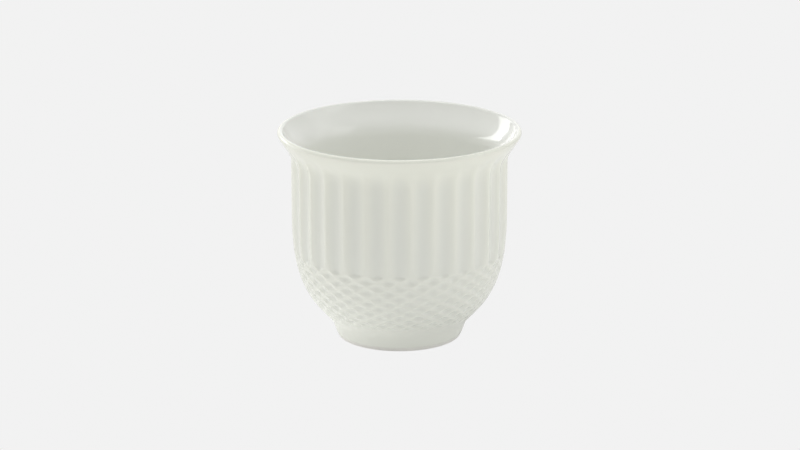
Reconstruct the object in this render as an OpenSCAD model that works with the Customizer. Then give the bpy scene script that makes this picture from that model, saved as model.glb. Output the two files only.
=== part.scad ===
// A small handle-less porcelain coffee cup: flared lip, a ring of concave flutes, a net of
// diamond hollows under them and a plain foot. Millimetres, +Z up, the origin on the table
// under the middle of the cup, and the middle of one flute faces -Y.

/* [Cup] */
// Height from the table to the crest of the lip
cup_h = 56; // [48:0.5:64]
// Outer radius of the lip
lip_r = 32; // [31:0.25:35]
// Thickness of the lip, glaze included
lip_t = 1.5; // [1.2:0.1:2]
// Radius of the straight wall, over the ridges of the flutes
wall_r = 28.4; // [26.8:0.2:29.6]
// Thickness of the straight wall, over the ridges, glaze included
wall_t = 2.5; // [2:0.1:3.5]
// Height of the flare, from the top of the straight wall to the crest of the lip
flare_h = 9; // [7:0.5:12]
// Lean of the wall where it meets the lip, from upright, in degrees
flare_slope = 27; // [20:1:35]
// Height at which the belly has become the straight wall
belly_h = 32; // [29:0.5:36]
// Lean of the belly where it leaves the foot, from upright, in degrees
belly_slope = 38; // [30:1:45]

/* [Foot] */
// Radius of the foot where its side would meet the table
foot_r = 16.4; // [15.4:0.2:17.2]
// Radius of the waist, where the foot meets the belly
waist_r = 17.8; // [17.6:0.2:19]
// Height of the waist
foot_h = 4.2; // [3.6:0.2:4.8]
// Width of the foot ring, across its bearing face and both edges
ring_w = 3.4; // [2.6:0.2:4.4]
// Rounding of the foot ring's outer edge, and bevel of its inner one
ring_edge = 0.5; // [0.3:0.1:0.8]
// Depth of the hollow inside the foot ring
recess_h = 2.4; // [1.8:0.2:3]
// Thickness of the floor at its centre, glaze included
floor_t = 3.8; // [3:0.2:5]

/* [Flutes] */
// Number of flutes round the cup
flute_count = 30; // [20:1:32]
// Depth of a flute below its ridges
flute_depth = 0.75; // [0.4:0.05:1]
// Distance below the foot of the flare at which the flutes start to run out
flute_fade_drop = 1; // [0.5:0.5:4]
// Distance below the crest of the lip at which the flutes have run out
flute_top_drop = 2; // [1.5:0.5:5]
// Height of the forks, where each ridge splits and becomes part of the net
fork_h = 24; // [21:0.5:24.5]

/* [Net of diamonds] */
// Steps from the forks down to the foot, each half a diamond high
net_steps = 12; // [8:2:14]
// Depth of a diamond's hollow below the net
net_depth = 0.45; // [0.25:0.05:0.6]
// Height at which the net ends above the foot
net_end_h = 6.1; // [5:0.1:6.2]

/* [Glaze] */
// Thickness of the glaze
glaze_t = 0.2; // [0.15:0.05:0.3]
// Height of the bare clay above the table, where the glaze is wiped away
bare_h = 1; // [0.9:0.1:1.4]

/* [Hidden] */

// How far a cut runs past the face that it opens
overrun = 1;
// Segments in the lip and the corner of the foot's hollow, the flare, the shoulder above the
// forks, the well and the edge of the foot ring
round_segments = 3;
flare_segments = 4;
shoulder_segments = 2;
well_segments = 14;
edge_segments = 2;
// Steps in which the belly's length is measured
belly_samples = 60;
// Sides of the round surfaces
round_sides = 120;
// Handles of the curves, as shares of the height or the radius that each curve covers
belly_foot_share = 0.215;
belly_wall_share = 0.72;
flare_wall_share = 0.5;
flare_lip_share = 0.5;
well_floor_share = 0.68;
well_wall_share = 0.74;
// How deep a flute is beside its ridges, and a diamond halfway to its corners, as shares of
// their depths
scallop_share = 0.6;
dish_share = 0.6;
// How far the clay of the lip is rounded before its flat top, in degrees from the crest
lip_flat_angle = 22;

pitch = 360 / flute_count;
lip_round = lip_t / 2;
lip_centre = [lip_r - lip_round, cup_h - lip_round];
well_r = wall_r - wall_t;
floor_h = recess_h + floor_t;
flare_low_h = cup_h - flare_h;
flute_fade_h = flare_low_h - flute_fade_drop;
flute_top_h = cup_h - flute_top_drop;
recess_r = foot_r - ring_w;
clay_top_h = cup_h - glaze_t;
// The two coats meet on the lip's crest, just inside the flats of the outer coat's many sides
seam_r = lip_centre.x * cos(pitch / 8);

// A cubic curve through four control points, and a walk along it
function bezier_point(p, t) =
    (1 - t) ^ 3 * p[0] + 3 * t * (1 - t) ^ 2 * p[1] + 3 * t ^ 2 * (1 - t) * p[2] + t ^ 3 * p[3];
function bezier(p, n, first = 0) = [for (i = [first:n]) bezier_point(p, i / n)];

// A list without its last entry, and a list turned round
function but_last(list) = [for (i = [0:len(list) - 2]) list[i]];
function turned(list) = [for (i = [len(list) - 1:-1:0]) list[i]];

// Unit direction of a radial section, leaning from upright
function leaning(angle) = [sin(angle), cos(angle)];

// Points on an arc in the radial section, by angle from the outward direction
function arc(centre, radius, from, to, n, first = 0) =
    [for (i = [first:n])
        let (a = from + (to - from) * i / n)
        centre + radius * [cos(a), sin(a)]];

// Outward normals of a path that climbs with the solid on its inner side
function normals(path) =
    [for (i = [0:len(path) - 1])
        let (run = path[min(i + 1, len(path) - 1)] - path[max(i - 1, 0)])
        [run.y, -run.x] / norm(run)];

// Curves of the outer face, over the ridges
foot_top = [waist_r, foot_h];
belly_rise = belly_h - foot_h;
belly_curve = [
    foot_top,
    foot_top + belly_foot_share * belly_rise * leaning(belly_slope),
    [wall_r, belly_h - belly_wall_share * belly_rise],
    [wall_r, belly_h]
];
lip_start = lip_centre + lip_round * [cos(flare_slope), -sin(flare_slope)];
flare_rise = lip_start.y - flare_low_h;
flare_curve = [
    [wall_r, flare_low_h],
    [wall_r, flare_low_h + flare_wall_share * flare_rise],
    lip_start - flare_lip_share * flare_rise * leaning(flare_slope),
    lip_start
];

// The belly measured along its own length, so that the diamonds keep one height
belly_path = bezier(belly_curve, belly_samples);
belly_runs = [for (i = 0, run = 0; i < len(belly_path);
    run = run + norm(belly_path[min(i + 1, belly_samples)] - belly_path[i]), i = i + 1) run];
run_by_height = [for (i = [0:belly_samples]) [belly_path[i].y, belly_runs[i]]];
radius_by_run = [for (i = [0:belly_samples]) [belly_runs[i], belly_path[i].x]];
height_by_run = [for (i = [0:belly_samples]) [belly_runs[i], belly_path[i].y]];
function on_belly(run) = [lookup(run, radius_by_run), lookup(run, height_by_run)];
net_low_run = lookup(net_end_h, run_by_height);
net_top_run = lookup(fork_h, run_by_height);
net_step_run = (net_top_run - net_low_run) / net_steps;
belly_run = belly_runs[belly_samples];

// How much of its depth a flute still has at a height
function fade(h) =
    let (t = min(1, max(0, (h - flute_fade_h) / (flute_top_h - flute_fade_h))))
    1 - t * t * (3 - 2 * t);

// A row of the relief is [place of the ridge line, columns in a flute, cuts, lean]: the cuts
// are the depths at a ridge, beside it and in the middle of the flute, and the lean tells
// which diagonal of the row's cells is the crest
function flute_row(place) =
    let (d = flute_depth * fade(place.y))
    [place, 4, [0, scallop_share * d, d], 0];
function plain_row(place) = [place, 2, [0, 0, 0], 0];

// The net steps down from the forks: hollows lie under the flutes on even steps and under the
// ridges on odd ones, and the last step is flush
function hollow(k) = k == 0 ? flute_depth : k < net_steps ? net_depth : 0;
function net_place(k) = on_belly(net_top_run - k * net_step_run);
function net_row(k, fine) =
    let (d = hollow(k), side = fine ? dish_share * d : 0)
    [net_place(k), fine ? 4 : 2, k % 2 == 0 ? [0, side, d] : [d, side, 0], k % 2];
function half_row(k) =
    let (odd = k % 2 == 1 ? k : k + 1, even = k % 2 == 1 ? k + 1 : k)
    [net_place(k + 1 / 2), 2, dish_share * [hollow(odd), 0, hollow(even)], k % 2, true];

// All rows from the glaze's lower edge to the crest of the lip. The face that shows has fine
// cells in its net, and the face between glaze and clay has plain ones
function foot_side(h) = foot_r + (waist_r - foot_r) * h / foot_h;
glaze_start = [foot_side(bare_h), bare_h];
shoulder_run = net_top_run + net_step_run / 2;
function outer_rows(fine) = concat(
    [plain_row(glaze_start), plain_row(foot_top), net_row(net_steps, fine)],
    [for (k = [net_steps - 1:-1:0]) each fine ? [half_row(k), net_row(k, fine)] : [net_row(k, fine)]],
    [for (i = [0:shoulder_segments])
        flute_row(on_belly(shoulder_run + (belly_run - shoulder_run) * i / shoulder_segments))],
    [flute_row([wall_r, flute_fade_h])],
    [for (place = bezier(flare_curve, flare_segments, 1)) flute_row(place)],
    [for (place = arc(lip_centre, lip_round, -flare_slope, 90, round_segments, 1)) flute_row(place)]
);

// Rows pushed inwards by a depth, each ready to be laid out as points
function sunk(rows, sink) =
    let (out = normals([for (row = rows) row[0]]))
    [for (i = [0:len(rows) - 1])
        let (row = rows[i])
        [row[0], row[1], row[2], row[3], len(row) > 4, out[i], sink]];

// Points of one row, counted anticlockwise from the first ridge beside -Y
function row_points(row) =
    let (columns = row[1] * flute_count)
    [for (c = [0:columns - 1])
        let (
            kind = c % row[1],
            cut = kind == 0 ? row[2][0] : kind * 2 == row[1] ? row[2][2] : row[2][1],
            place = row[0] - (cut + row[6]) * row[5],
            a = pitch / 2 - 90 + c * 360 / columns
        )
        [place.x * cos(a), place.x * sin(a), place.y]];

// Triangles between two rows, which may have the same number of columns or one twice the other
function cell(a, b, c, d, crest_up) = crest_up ? [[a, d, c], [a, c, b]] : [[a, d, b], [d, c, b]];
function strip(low, low_n, high, high_n, lean) =
    low_n == high_n
    ? [for (c = [0:low_n - 1])
        let (e = (c + 1) % low_n)
        each cell(low + c, low + e, high + e, high + c, (c + lean) % 2 == 0)]
    : low_n < high_n
    ? [for (c = [0:low_n - 1])
        let (e = (c + 1) % low_n, f = (2 * c + 2) % high_n)
        each [
            [low + c, high + 2 * c, high + 2 * c + 1],
            [low + c, high + 2 * c + 1, low + e],
            [low + e, high + 2 * c + 1, high + f]
        ]]
    : [for (c = [0:high_n - 1])
        let (e = (c + 1) % high_n, f = (2 * c + 2) % low_n)
        each [
            [low + 2 * c, high + c, low + 2 * c + 1],
            [low + 2 * c + 1, high + c, high + e],
            [low + 2 * c + 1, high + e, low + f]
        ]];

// A step of the fine net, from one row over its half row to the next: each cell has a crest
// across one diagonal and a quarter of a dished hollow in the two corners beside it
function net_strip(low, mid, high, n, lean) =
    [for (c = [0:n - 1])
        let (
            e = (c + 1) % n,
            a = low + 2 * c, ab = a + 1, b = low + 2 * e,
            d = high + 2 * c, dc = d + 1, f = high + 2 * e,
            l = mid + c, r = mid + e
        )
        each (c + lean) % 2 == 0
        ? [[a, f, r], [a, r, ab], [ab, r, b], [a, l, dc], [a, dc, f], [l, d, dc]]
        : [[l, d, b], [l, b, ab], [a, l, ab], [d, dc, r], [d, r, b], [dc, f, r]]];

function row_sizes(rows) = [for (row = rows) row[1] * flute_count];
function row_starts(sizes) = [for (i = 0, at = 0; i < len(sizes); at = at + sizes[i], i = i + 1) at];
function is_half(rows, i) = rows[i][4];
function sheet_points(rows) = [for (row = rows) each row_points(row)];
function sheet(rows) =
    let (n = row_sizes(rows), at = row_starts(n))
    [for (i = [0:len(rows) - 2])
        each is_half(rows, i) ? []
        : is_half(rows, i + 1) ? net_strip(at[i], at[i + 1], at[i + 2], n[i + 1], rows[i][3])
        : strip(at[i], n[i], at[i + 1], n[i + 1], rows[i][3])];

// A solid whose rows climb its outer side, closed by a flat face at each end
module closed_column(rows) {
    n = row_sizes(rows);
    at = row_starts(n);
    last = len(rows) - 1;
    base = [for (c = [0:n[0] - 1]) c];
    top = [for (c = [n[last] - 1:-1:0]) at[last] + c];
    polyhedron(sheet_points(rows), concat(sheet(rows), [base, top]));
}

// A skin between two sheets that both climb, closed by a narrow face along each end
module closed_skin(outer, inner) {
    outer_n = row_sizes(outer);
    inner_n = row_sizes(inner);
    outer_points = sheet_points(outer);
    first = len(outer_points);
    outer_top = len(outer) - 1;
    inner_top = len(inner) - 1;
    backs = [for (f = sheet(inner)) [for (v = turned(f)) first + v]];
    foot_seam = strip(first, inner_n[0], 0, outer_n[0], 0);
    crest_seam = strip(
        row_starts(outer_n)[outer_top], outer_n[outer_top],
        first + row_starts(inner_n)[inner_top], inner_n[inner_top], 0
    );
    polyhedron(
        concat(outer_points, sheet_points(inner)),
        concat(sheet(outer), backs, foot_seam, crest_seam)
    );
}

// The bare rim below the glaze, rounded in to the bearing face
function bare_row(place) = [place, 2, [0, 0, 0], 0, false, [1, 0], glaze_t];
bare_corner = [foot_side(ring_edge) - ring_edge, ring_edge];
bare_rows = [for (place = arc(bare_corner, ring_edge, -90, 0, edge_segments)) bare_row(place)];

// The well, from the middle of its floor up to the crest of the lip, glazed and bare
well_floor_curve = [
    [0, floor_h],
    [well_floor_share * well_r, floor_h],
    [well_r, belly_h - well_wall_share * (belly_h - floor_h)],
    [well_r, belly_h]
];
well_lip = lip_centre - lip_round * [cos(flare_slope), -sin(flare_slope)];
well_flare_rise = well_lip.y - flare_low_h;
well_flare_curve = [
    [well_r, flare_low_h],
    [well_r, flare_low_h + flare_wall_share * well_flare_rise],
    well_lip - flare_lip_share * well_flare_rise * leaning(flare_slope),
    well_lip
];
well_wall = concat(
    bezier(well_floor_curve, well_segments),
    bezier(well_flare_curve, flare_segments)
);
well_normals = normals(well_wall);
clay_wall = [for (i = [0:len(well_wall) - 1])
    i == 0 ? [0, floor_h - glaze_t] : well_wall[i] + glaze_t * well_normals[i]];
clay_lip_round = lip_round - glaze_t;
clay_flat = lip_centre + clay_lip_round * [-sin(lip_flat_angle), cos(lip_flat_angle)];
flat_edge = clay_flat + (clay_top_h - clay_flat.y) / tan(lip_flat_angle) * [1, tan(lip_flat_angle)];
flat_past = clay_flat + overrun * [1, tan(lip_flat_angle)];
clay_well = concat(
    clay_wall,
    arc(lip_centre, clay_lip_round, 180 - flare_slope, 90 + lip_flat_angle, round_segments, 1)
);
glazed_well = concat(
    well_wall,
    but_last(arc(lip_centre, lip_round, 180 - flare_slope, 90, round_segments, 1)),
    [[seam_r, cup_h]]
);

// The hollow of the foot ring, from its middle out and down to the bare rim
recess_round = recess_h / 2;
recess_corner = [recess_r - recess_round, recess_h - recess_round];
glazed_recess = concat(
    [[0, recess_h]],
    arc(recess_corner, recess_round, 90, 0, round_segments),
    [[recess_r, bare_h]]
);
clay_recess = concat(
    [[0, recess_h + glaze_t]],
    arc(recess_corner, recess_round + glaze_t, 90, 0, round_segments),
    [[recess_r + glaze_t, bare_h]]
);

// Fired clay: the whole cup in one piece, with its relief, its floor and its foot ring
module porcelain_body() {
    color("linen")
    difference() {
        closed_column(concat(bare_rows, sunk(outer_rows(false), glaze_t)));
        rotate_extrude($fn = round_sides)
            polygon(concat(clay_well, [flat_past, [0, flat_past.y]]));
        rotate_extrude($fn = round_sides)
            polygon(concat(clay_recess, [
                [recess_r + glaze_t, ring_edge],
                [recess_r + glaze_t + ring_edge + overrun, -overrun],
                [0, -overrun]
            ]));
    }
}

// Glaze over the relief, from the crest of the lip to just above the foot's bearing edge
module outer_glaze() {
    color("whitesmoke")
    closed_skin(sunk(outer_rows(true), 0), sunk(outer_rows(false), glaze_t));
}

// Glaze that lines the well, from the crest of the lip down and across the floor
module inner_glaze() {
    color("white")
    rotate_extrude($fn = round_sides)
        polygon(concat(glazed_well, [[seam_r, clay_top_h], flat_edge], turned(clay_well)));
}

// Glaze inside the foot ring
module underside_glaze() {
    color("white")
    rotate_extrude($fn = round_sides)
        polygon(concat(glazed_recess, turned(clay_recess)));
}

porcelain_body();
outer_glaze();
inner_glaze();
underside_glaze();
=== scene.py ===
import math

import bmesh
import bpy
import numpy as np
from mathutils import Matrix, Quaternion, Vector


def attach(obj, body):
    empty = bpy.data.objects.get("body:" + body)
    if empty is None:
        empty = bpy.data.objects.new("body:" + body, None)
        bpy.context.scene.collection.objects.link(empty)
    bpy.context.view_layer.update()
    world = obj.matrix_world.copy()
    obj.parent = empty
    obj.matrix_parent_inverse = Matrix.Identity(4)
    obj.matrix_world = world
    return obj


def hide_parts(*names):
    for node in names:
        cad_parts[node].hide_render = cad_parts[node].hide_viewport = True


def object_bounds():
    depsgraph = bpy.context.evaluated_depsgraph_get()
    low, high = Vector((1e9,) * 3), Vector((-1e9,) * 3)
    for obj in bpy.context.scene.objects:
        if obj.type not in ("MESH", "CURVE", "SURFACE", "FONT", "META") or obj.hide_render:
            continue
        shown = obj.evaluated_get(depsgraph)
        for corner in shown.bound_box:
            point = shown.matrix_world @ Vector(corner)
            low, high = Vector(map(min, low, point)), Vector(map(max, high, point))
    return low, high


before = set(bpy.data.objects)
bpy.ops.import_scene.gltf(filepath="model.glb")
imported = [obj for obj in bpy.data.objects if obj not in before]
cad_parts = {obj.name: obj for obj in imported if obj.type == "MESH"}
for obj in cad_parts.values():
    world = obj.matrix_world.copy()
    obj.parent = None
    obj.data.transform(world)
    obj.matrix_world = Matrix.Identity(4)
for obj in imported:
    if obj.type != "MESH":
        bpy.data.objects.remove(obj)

cad_low, cad_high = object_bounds()
MM = 0.001

# The camera stands in front of the cup and a little above it, with a long lens. Its place was
# worked out from the cup's outline in the photograph, and it needs no shift.
sight_h = 27 * MM
camera_distance = 800 * MM
camera_rise = math.radians(16.71)
aim = Vector((0.16 * MM, 0, 29.75 * MM))
camera_data = bpy.data.cameras.new("camera")
camera_data.sensor_width = 36
camera_data.lens = 136.2
camera = bpy.data.objects.new("camera", camera_data)
camera.location = (
    0,
    -camera_distance * math.cos(camera_rise),
    sight_h + camera_distance * math.sin(camera_rise),
)
camera.rotation_euler = (aim - camera.location).to_track_quat("-Z", "Y").to_euler()
bpy.context.scene.collection.objects.link(camera)
bpy.context.scene.camera = camera
bpy.context.scene.view_settings.view_transform = "Standard"


# The body is slip-cast porcelain, fired once to a white biscuit. The mould gives it its flutes,
# its net of hollows and its foot ring, and only the ring's bearing edge stays bare.
cup_h = cad_high.z
lip_r = cad_high.x
lip_round = 0.75 * MM
wall_r = 28.4 * MM
wall_t = 2.5 * MM
well_r = wall_r - wall_t
flare_h = 9 * MM
flare_degrees = 27
flare_slope = math.radians(flare_degrees)
flare_reach = 0.5
belly_h = 32 * MM
belly_slope = math.radians(38)
belly_low_reach = 0.215
belly_high_reach = 0.72
foot_r = 16.4 * MM
waist_r = 17.8 * MM
foot_h = 4.2 * MM
waist_ease = 1.4 * MM
waist_reach = 0.7
ring_w = 3.4 * MM
ring_edge = 0.5 * MM
recess_h = 2.4 * MM
recess_r = foot_r - ring_w
recess_round = recess_h / 2
floor_t = 3.8 * MM
floor_h = recess_h + floor_t
glaze_t = 0.2 * MM
bare_h = 1 * MM
crest_half_w = 0.02 * MM


def leaning(angle):
    """Unit direction in the radial section, leaning outwards from upright."""
    return Vector((math.sin(angle), math.cos(angle)))


def line(start, end, steps):
    """Points from start to end, without the last."""
    return [Vector(start).lerp(Vector(end), i / steps) for i in range(steps)]


def curve(a, b, c, d, steps):
    """Points on a cubic curve through four control points, without the last."""
    places = []
    for t in (i / steps for i in range(steps)):
        s = 1 - t
        places.append(s**3 * a + 3 * s * s * t * b + 3 * s * t * t * c + t**3 * d)
    return places


def arc(centre, radius, start, end, steps):
    """Points on an arc by angle from the outward direction, in degrees, without the last."""
    angles = [math.radians(start + (end - start) * i / steps) for i in range(steps)]
    return [Vector(centre) + radius * Vector((math.cos(a), math.sin(a))) for a in angles]


lip_centre = Vector((lip_r - lip_round, cup_h - lip_round))
lip_crest = lip_centre + Vector((0, lip_round))
flare_low = cup_h - flare_h
foot_top = Vector((waist_r, foot_h))
foot_side = (foot_top - Vector((foot_r, 0))).normalized()
belly_rise = belly_h - foot_h
belly_end = Vector((wall_r, belly_h))
belly = (
    foot_top,
    foot_top + belly_low_reach * belly_rise * leaning(belly_slope),
    Vector((wall_r, belly_h - belly_high_reach * belly_rise)),
    belly_end,
)
lip_start = lip_centre + lip_round * Vector((math.cos(flare_slope), -math.sin(flare_slope)))
flare_rise = lip_start.y - flare_low
flare = (
    Vector((wall_r, flare_low)),
    Vector((wall_r, flare_low + flare_reach * flare_rise)),
    lip_start - flare_reach * flare_rise * leaning(flare_slope),
    lip_start,
)
belly_points = [p for p in curve(*belly, 900) if (p - foot_top).length > waist_ease]
waist_low = foot_top - waist_ease * foot_side
outline = np.array([
    *line((foot_r, 0), waist_low, 60),
    *curve(waist_low, waist_low.lerp(foot_top, waist_reach),
           belly_points[0].lerp(foot_top, waist_reach), belly_points[0], 60),
    *belly_points,
    *line(belly_end, (wall_r, flare_low), 60),
    *curve(*flare, 300),
    *arc(lip_centre, lip_round, -flare_degrees, 90, 200),
    lip_crest,
])
outline_steps = np.hypot(*np.diff(outline, axis=0).T)
outline_run = np.concatenate([[0], np.cumsum(outline_steps)])
outline_turn = np.gradient(outline, outline_run, axis=0)


def run_at(height):
    """Length along the outer outline from the table up to a height."""
    return float(np.interp(height, outline[:, 1], outline_run))


def outline_place(run):
    """Place and outward normal of the outer outline, over the ridges, at a length along it."""
    place = Vector([np.interp(run, outline_run, outline[:, i]) for i in (0, 1)])
    along = Vector([np.interp(run, outline_run, outline_turn[:, i]) for i in (0, 1)])
    return place, Vector((along.y, -along.x)).normalized()


flute_count = 30
flute_depth = 0.75 * MM
ridge_ease = 0.25
fork_h = 24 * MM
net_low_h = 6.1 * MM
fork_run = run_at(fork_h)
net_low_run = run_at(net_low_h)
net_steps = 12
net_step = (fork_run - net_low_run) / net_steps
net_depth = 0.45 * MM
net_fade_start = 0.86
dimple_power = 1.7
flute_end_power = 1.1
flute_power_drop = 0.6
flute_end_shallow = 0.22
ridge_crowding = 0.3
fade_low = flare_low - 1 * MM
fade_high = cup_h - 2 * MM


def smooth_step(low, high, value):
    """0 at low, 1 at high, and an even S between them. Low may be the larger of the two."""
    t = min(1, max(0, (value - low) / (high - low)))
    return t * t * (3 - 2 * t)


def flute_across(x):
    """Depth across a flute: 1 in its middle, 0 on the rounded ridges half a unit away."""
    away = 1 - 2 * abs(x - round(x))
    eased = (math.hypot(away, ridge_ease) - ridge_ease) / (math.hypot(1, ridge_ease) - ridge_ease)
    return eased * (2 - eased)


def dimple_across(x):
    """Depth across a hollow of the net, with half a rounded strand on either side."""
    away = 2 * (x - round(x))
    return max(0, 1 - away * away) ** dimple_power


def relief(azimuth, run, height):
    """Depth of the moulded surface below its ridges: flutes above the forks, the net below."""
    across = (azimuth + math.pi / 2) * flute_count / math.tau
    down = max(0, (fork_run - run) / (2 * net_step))
    a, b = across + down, across - down
    if abs(across - round(across)) + down < 0.5:
        left = 1 - smooth_step(fade_low, fade_high, height)
        clear = smooth_step(fork_run - 0.3 * net_step, fork_run + 1.5 * net_step, run)
        power = flute_end_power - flute_power_drop * clear
        left -= flute_end_shallow * smooth_step(fork_run + 4 * net_step, fork_run, run)
        return flute_depth * left * (flute_across(a) * flute_across(b)) ** power
    left = 1 - smooth_step(net_fade_start, 1, 2 * down / net_steps)
    return net_depth * left * dimple_across(a) * dimple_across(b)


def crowded(azimuth, run):
    """Azimuth of a column, moved towards the nearest ridge where there are flutes."""
    across = (azimuth + math.pi / 2) * flute_count
    above = smooth_step(fork_run - 2 * net_step, fork_run, run)
    return azimuth + ridge_crowding * above * math.sin(across) / flute_count


def wall_rows(runs, sink):
    """Profile rows of the moulded outer wall at these lengths, sunk by a thickness."""
    rows = []
    for run in runs:
        place, out = outline_place(run)
        rows.append((place, out, sink, run))
    return rows


def plain_rows(places):
    """Profile rows with no relief."""
    return [(Vector(place), None, 0, None) for place in places]


def turned_solid(name, rows, columns, sharp_rows=()):
    """A closed solid turned from a profile: a slice one flute wide is spun and sunk to the
    moulded relief, and the other slices are its copies."""
    pitch = math.tau / flute_count
    start = -math.pi / 2 - pitch / 2
    bm = bmesh.new()
    row_of = bm.verts.layers.int.new("row")
    pooling = bm.verts.layers.float.new("pooling")
    verts = []
    for i, (place, out, sink, run) in enumerate(rows):
        if out:
            place = place - sink * out
        vert = bm.verts.new((place.x * math.cos(start), place.x * math.sin(start), place.y))
        vert[row_of] = i
        verts.append(vert)
    edges = [bm.edges.new(pair) for pair in zip(verts, verts[1:])]
    if rows[0][0].x > 0:
        edges.append(bm.edges.new((verts[-1], verts[0])))
    turn = {"cent": (0, 0, 0), "axis": (0, 0, 1), "dvec": (0, 0, 0), "use_merge": False}
    bmesh.ops.spin(bm, geom=verts + edges, angle=pitch, steps=columns, use_duplicate=False, **turn)
    for vert in bm.verts:
        place, out, sink, run = rows[vert[row_of]]
        if out:
            azimuth = crowded(math.atan2(vert.co.y, vert.co.x), run)
            depth = relief(azimuth, run, place.y)
            vert[pooling] = depth / flute_depth
            sunk = place - (depth + sink) * out
            vert.co = (sunk.x * math.cos(azimuth), sunk.x * math.sin(azimuth), sunk.y)
    slices = [*bm.verts, *bm.edges, *bm.faces]
    bmesh.ops.spin(bm, geom=slices, angle=math.tau - pitch, steps=flute_count - 1,
                   use_duplicate=True, **turn)
    bmesh.ops.remove_doubles(bm, verts=bm.verts, dist=0.001 * MM)
    bmesh.ops.recalc_face_normals(bm, faces=bm.faces)
    for face in bm.faces:
        face.smooth = True
    for edge in bm.edges:
        ends = {vert[row_of] for vert in edge.verts}
        edge.smooth = not (len(ends) == 1 and ends & set(sharp_rows))
    mesh = bpy.data.meshes.new(name)
    bm.to_mesh(mesh)
    bm.free()
    piece = bpy.data.objects.new(name, mesh)
    bpy.context.scene.collection.objects.link(piece)
    return piece


glaze_edge_run = run_at(bare_h)
foot_low_run = glaze_edge_run + 1.5 * glaze_t
lip_run = run_at(lip_start.y)
crest_run = float(outline_run[-1])
fade_run = run_at(fade_low)


def spread(start, end, steps):
    """Evenly spread numbers from start to end, without the last."""
    return [start + (end - start) * i / steps for i in range(steps)]


def wall_runs(per_step, flute_rows, fade_rows, flare_rows, lip_rows):
    """Lengths along the outer outline at which a sheet of the wall has its rows."""
    return [
        *spread(foot_low_run, net_low_run, per_step + 2),
        *spread(net_low_run, fork_run, per_step * net_steps),
        *spread(fork_run, fade_run, flute_rows),
        *spread(fade_run, run_at(fade_high), fade_rows),
        *spread(run_at(fade_high), lip_run, flare_rows),
        *spread(lip_run, crest_run, lip_rows),
        crest_run - crest_half_w,
        crest_run,
    ]


well_floor_reach = 0.68
well_wall_reach = 0.74
well_floor = (
    Vector((0, floor_h)),
    Vector((well_floor_reach * well_r, floor_h)),
    Vector((well_r, belly_h - well_wall_reach * (belly_h - floor_h))),
    Vector((well_r, belly_h)),
)
well_lip = lip_centre - lip_round * Vector((math.cos(flare_slope), -math.sin(flare_slope)))
well_rise = well_lip.y - flare_low
well_flare = (
    Vector((well_r, flare_low)),
    Vector((well_r, flare_low + flare_reach * well_rise)),
    well_lip - flare_reach * well_rise * leaning(flare_slope),
    well_lip,
)


def well_places(fine, sink):
    """The well from the middle of its floor to the crest of the lip, sunk into the clay."""
    places = [
        *curve(*well_floor, 12 * fine),
        *line(well_floor[3], well_flare[0], 2 * fine),
        *curve(*well_flare, 4 * fine),
        *arc(lip_centre, lip_round, 180 - flare_degrees, 90, 4 * fine),
        lip_crest - Vector((crest_half_w, 0)),
        lip_crest,
    ]
    sunk = []
    for i, place in enumerate(places):
        along = places[min(i + 1, len(places) - 1)] - places[max(i - 1, 0)]
        out = Vector((along.y, -along.x)).normalized()
        sunk.append(place + sink * out)
    sunk[0].x = 0
    sunk[-1].x = lip_crest.x
    return sunk


ring_out = recess_r + glaze_t
ring_r = foot_r + (waist_r - foot_r) * ring_edge / foot_h - ring_edge - glaze_t


def recess_places(sink):
    """The hollow inside the foot ring, from its middle out and down to the bare rim."""
    centre = Vector((recess_r - recess_round, recess_h - recess_round))
    return [
        *line((0, recess_h + sink), (centre.x, recess_h + sink), 6),
        *arc(centre, recess_round + sink, 90, 0, 10),
        Vector((recess_r + sink, centre.y)),
        Vector((recess_r + sink, bare_h)),
    ]


body_rows = [
    *plain_rows(recess_places(glaze_t)),
    *plain_rows(line((ring_out, 0.9 * bare_h), (ring_out, ring_edge), 2)),
    *plain_rows(arc((ring_out + ring_edge, ring_edge), ring_edge, 180, 270, 6)),
    *plain_rows(line((ring_out + ring_edge, 0), (ring_r, 0), 3)),
    *plain_rows(arc((ring_r, ring_edge), ring_edge, -90, 0, 6)),
    *plain_rows([(ring_r + ring_edge, ring_edge)]),
    *wall_rows([glaze_edge_run, *wall_runs(2, 6, 6, 4, 8)], glaze_t),
    *plain_rows(reversed(well_places(2, glaze_t)[:-1])),
]
fired_body = turned_solid("fired_body", body_rows, 8)
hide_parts("porcelain_body")
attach(fired_body, "root")


class Wire:
    """The output of a node. Arithmetic on wires adds the Math nodes that do it."""

    def __init__(self, tree, socket=None):
        self.tree = tree
        self.socket = socket

    def node(self, kind, settings, inputs, output=0):
        """The output of a new node, whose settings are set before its values and links."""
        made = self.tree.nodes.new(kind)
        for name, value in settings.items():
            setattr(made, name, value)
        for name, value in inputs.items():
            if isinstance(value, Wire):
                self.tree.links.new(value.socket, made.inputs[name])
            else:
                made.inputs[name].default_value = value
        return Wire(self.tree, made.outputs[output])

    def math(self, operation, first, second):
        return self.node("ShaderNodeMath", {"operation": operation}, {0: first, 1: second})

    def __add__(self, other):
        return self.math("ADD", self, other)

    def __sub__(self, other):
        return self.math("SUBTRACT", self, other)

    def __rsub__(self, other):
        return self.math("SUBTRACT", other, self)

    def __mul__(self, other):
        return self.math("MULTIPLY", self, other)

    def __pow__(self, other):
        return self.math("POWER", self, other)

    def exp(self):
        """e to the power of this wire."""
        return self.node("ShaderNodeMath", {"operation": "EXPONENT"}, {0: self})

    __radd__ = __add__
    __rmul__ = __mul__

    def blend(self, low, high):
        """A colour between two others: low where this wire is 0, high where it is 1."""
        settings = {"data_type": "RGBA", "clamp_factor": True}
        return self.node("ShaderNodeMix", settings, {0: self, 6: low, 7: high}, 2)

    def grain(self, scale, detail):
        """Noise between about 0.3 and 0.7 on this wire's coordinates."""
        inputs = {"Vector": self, "Scale": scale, "Detail": detail}
        return self.node("ShaderNodeTexNoise", {}, inputs)


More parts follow.
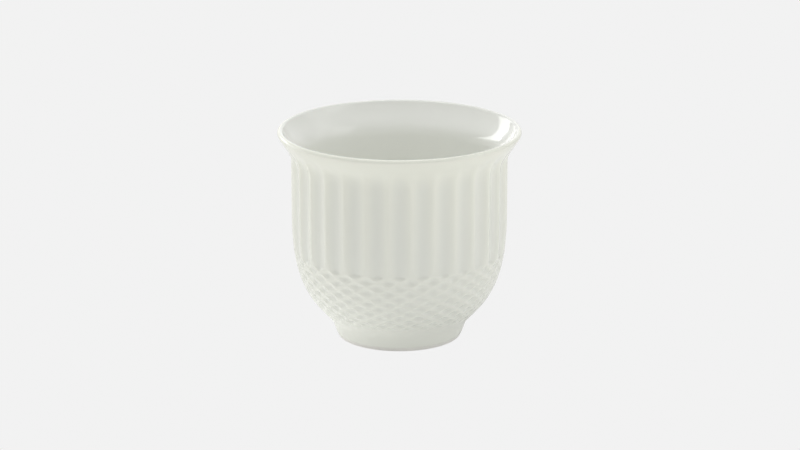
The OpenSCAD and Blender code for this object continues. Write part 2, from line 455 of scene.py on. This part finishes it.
def finish_of(piece, name):
    """A new material on a piece: its shader, and its object coordinates as a wire."""
    material = bpy.data.materials.new(name)
    material.use_nodes = True
    tree = material.node_tree
    shader = tree.nodes["Principled BSDF"]
    piece.data.materials.append(material)
    start = Wire(tree)
    return start, shader, start.node("ShaderNodeTexCoord", {}, {}, "Object")


def wear(wire, shader, socket):
    """Feeds a wire into one of the shader's sockets."""
    wire.tree.links.new(wire.socket, shader.inputs[socket])


start, shader, place = finish_of(fired_body, "biscuit_porcelain")
blotch = place.grain(140, 3)
grain = place.grain(5200, 2)
grey_biscuit = (0.80, 0.79, 0.75, 1)
white_biscuit = (0.87, 0.86, 0.82, 1)
wear((blotch * 2 - 0.5).blend(grey_biscuit, white_biscuit), shader, "Base Color")
wear(0.62 + grain * 0.3, shader, "Roughness")
tooth = {"Strength": 0.25, "Distance": 0.05 * MM, "Height": grain}
wear(start.node("ShaderNodeBump", {}, tooth), shader, "Normal")


# Clear glaze over the moulded wall. The cup is dipped, so the glaze runs from the crest of the
# lip to just above the foot's bearing edge, a little thicker in the hollows than on the ridges.
outer_rows = []
for angle in (20, 40, 65):
    up = 1 - math.cos(math.radians(angle))
    out = 1 - math.sin(math.radians(angle))
    outer_rows += wall_rows([glaze_edge_run + up * glaze_t], out * glaze_t)
outer_rows += wall_rows(wall_runs(7, 12, 14, 4, 12), 0)
inner_rows = wall_rows([glaze_edge_run, *wall_runs(2, 6, 6, 4, 4)], glaze_t)
outer_glaze = turned_solid(
    "outer_glaze_coat",
    outer_rows + inner_rows[::-1],
    16,
    (0, len(outer_rows) - 1, len(outer_rows), len(outer_rows) + len(inner_rows) - 1),
)
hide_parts("outer_glaze")
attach(outer_glaze, "root")

# The deep colour stands for pooled glaze in the hollows, and lower down also for painted shade.
thin_glaze = (0.95, 0.96, 0.855, 1)
deep_and_shaded_glaze = (0.85, 0.865, 0.8, 1)
# Below this height the glaze colour deepens towards the table: painted shade.
foot_shade_h = 45 * MM
glaze_ior = 1.5


def glaze_on(piece, name, thin, deep_and_shaded):
    """Glossy clear glaze over white porcelain, of the deep colour where it pools in the hollows,
    and deeper lower down, towards the foot and the floor of the well, as painted shade."""
    start, shader, place = finish_of(piece, name)
    pooled = start.node("ShaderNodeAttribute", {"attribute_name": "pooling"}, {}, "Fac")
    drift = place.grain(45, 2)
    peel = place.grain(700, 2)
    height = start.node("ShaderNodeSeparateXYZ", {}, {0: place}, "Z")
    # Painted shade: the colour grows deeper lower down, towards the foot and the floor of the
    # well.
    foot_shade = 1 - height * (1 / foot_shade_h)
    depth = pooled * 0.5 + foot_shade * 0.9 + drift * 0.3 - 0.15
    wear(depth.blend(thin, deep_and_shaded), shader, "Base Color")
    wear(0.05 + drift * 0.06 + peel * 0.03, shader, "Roughness")
    ripple = {"Strength": 0.1, "Distance": 0.02 * MM, "Height": peel}
    wear(start.node("ShaderNodeBump", {}, ripple), shader, "Normal")
    shader.inputs["IOR"].default_value = glaze_ior


glaze_on(outer_glaze, "outer_clear_glaze", thin_glaze, deep_and_shaded_glaze)


# The same glaze inside, poured in and out again: it lines the well from the crest of the lip
# down and across the floor. Here it has a lighter, greyer copy of the outer colours, which is
# painted light that brightens the well.
well_outer = plain_rows(well_places(6, 0))
well_inner = plain_rows(well_places(2, glaze_t))
inner_glaze = turned_solid(
    "inner_glaze_coat",
    well_outer + well_inner[::-1],
    8,
    (len(well_outer) - 1, len(well_outer)),
)
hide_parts("inner_glaze")
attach(inner_glaze, "root")
# Painted light: these are lighter, greyer copies of the glaze colours, to brighten the well.
lit_thin_inner_glaze = (0.925, 0.935, 0.885, 1)
lit_deep_shaded_inner_glaze = (0.91, 0.92, 0.87, 1)
glaze_on(inner_glaze, "inner_clear_glaze_painted_light", lit_thin_inner_glaze, lit_deep_shaded_inner_glaze)


# Glaze inside the foot ring. The hollow is dipped with the rest of the cup, and the glaze is
# wiped off at the same height as on the outside, so that the bare ring can stand in the kiln.
recess_outer = plain_rows(recess_places(0))
recess_inner = plain_rows(recess_places(glaze_t))
underside_glaze = turned_solid(
    "underside_glaze_coat",
    recess_outer + recess_inner[::-1],
    8,
    (len(recess_outer) - 1, len(recess_outer)),
)
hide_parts("underside_glaze")
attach(underside_glaze, "root")
glaze_on(underside_glaze, "underside_clear_glaze", thin_glaze, deep_and_shaded_glaze)


# The table is a plain pale sweep. The camera sees an even grey card with no shadow on it, and
# the lights see a white table top in the same plane, which glows faintly up at the cup, most of
# all in front of it and on the left.
floor_reach = 6
floor_grey = 0.887
bm = bmesh.new()
bmesh.ops.create_grid(bm, x_segments=1, y_segments=1, size=floor_reach)
floor_mesh = bpy.data.meshes.new("floor")
bm.to_mesh(floor_mesh)
bm.free()
floor = bpy.data.objects.new("floor", floor_mesh)
bpy.context.scene.collection.objects.link(floor)
floor_material = bpy.data.materials.new("pale_card")
floor_material.use_nodes = True
floor_tree = floor_material.node_tree
floor_tree.nodes.clear()
card_light = Wire(floor_tree).node(
    "ShaderNodeEmission", {}, {"Color": (floor_grey, floor_grey, floor_grey, 1), "Strength": 1}
)
floor_end = floor_tree.nodes.new("ShaderNodeOutputMaterial")
floor_tree.links.new(card_light.socket, floor_end.inputs["Surface"])
floor_mesh.materials.append(floor_material)
floor.visible_diffuse = False
floor.visible_glossy = False
floor.visible_shadow = False

table_white = 0.8
table = bpy.data.objects.new("table", floor_mesh.copy())
bpy.context.scene.collection.objects.link(table)
table.visible_camera = False
table.data.materials.clear()
start, shader, place = finish_of(table, "white_table")
shader.inputs["Base Color"].default_value = (table_white, table_white, table_white, 1)
shader.inputs["Roughness"].default_value = 1
shader.inputs["Specular IOR Level"].default_value = 0
shader.inputs["Emission Strength"].default_value = 1


def glow(centre, reach):
    """A wire that is 1 at a place on the table and fades to nothing past its reach."""
    inputs = {0: place, 1: centre}
    away = start.node("ShaderNodeVectorMath", {"operation": "DISTANCE"}, inputs, "Value")
    return (0 - (away * (1 / reach)) ** 2).exp()


glow_left = glow((-30 * MM, -18 * MM, 0), 30 * MM)
glow_front = glow((0, -100 * MM, 0), 50 * MM)
wear(0.11 + 0.25 * glow_left + 0.2 * glow_front, shader, "Emission Color")


# The studio is a dim room with a bright wall behind the cup. A tilted window behind on the left
# makes the white patch inside the lip, and softboxes above, in front and at the sides fill in.
world = bpy.data.worlds.new("studio")
bpy.context.scene.world = world
world.use_nodes = True
sky = Wire(world.node_tree)
direction = sky.node("ShaderNodeTexCoord", {}, {}, "Generated")
rise = math.radians(8)
behind = (0, math.cos(rise), math.sin(rise))
facing = sky.node(
    "ShaderNodeVectorMath", {"operation": "DOT_PRODUCT"}, {0: direction, 1: behind}, "Value"
)
background = world.node_tree.nodes["Background"]
room_light = 0.25
wall_light = 1.01
wall_focus = 8
wear(room_light + wall_light * ((facing + 1) * 0.5) ** wall_focus, background, "Color")
background.inputs["Strength"].default_value = 1
cup_middle = 30 * MM


def softbox(name, azimuth, elevation, distance, size, power, tilt=0):
    """A rectangular area light that faces the middle of the cup. Its angles are in degrees, round
    from the cup's right and above the level, its distance and size in metres, its power in watts,
    and its tilt turns it about the line to the cup."""
    data = bpy.data.lights.new(name, "AREA")
    data.shape = "RECTANGLE"
    data.size, data.size_y = size
    data.energy = power
    turn, rise = math.radians(azimuth), math.radians(elevation)
    towards = Vector(
        (math.cos(turn) * math.cos(rise), math.sin(turn) * math.cos(rise), math.sin(rise))
    )
    facing = towards.to_track_quat("Z", "Y") @ Quaternion((0, 0, 1), math.radians(tilt))
    light = bpy.data.objects.new(name, data)
    light.location = Vector((0, 0, cup_middle)) + distance * towards
    light.rotation_euler = facing.to_euler()
    bpy.context.scene.collection.objects.link(light)


softbox("window", 147, 11, 0.7, (0.72, 0.2), 1.4, -20)
softbox("softbox_above", 110, 75, 0.7, (0.6, 0.5), 1.5)
softbox("softbox_front", -90, 35, 0.7, (0.95, 0.7), 0.77)
softbox("softbox_left", -150, 40, 0.7, (0.7, 0.6), 0.56)
softbox("softbox_left_high", 180, 55, 0.8, (0.8, 0.8), 0.45)
softbox("softbox_right", -15, 20, 0.7, (0.35, 0.6), 1.0)
softbox("softbox_right_behind", 15, 20, 0.7, (0.25, 0.6), 0.35)
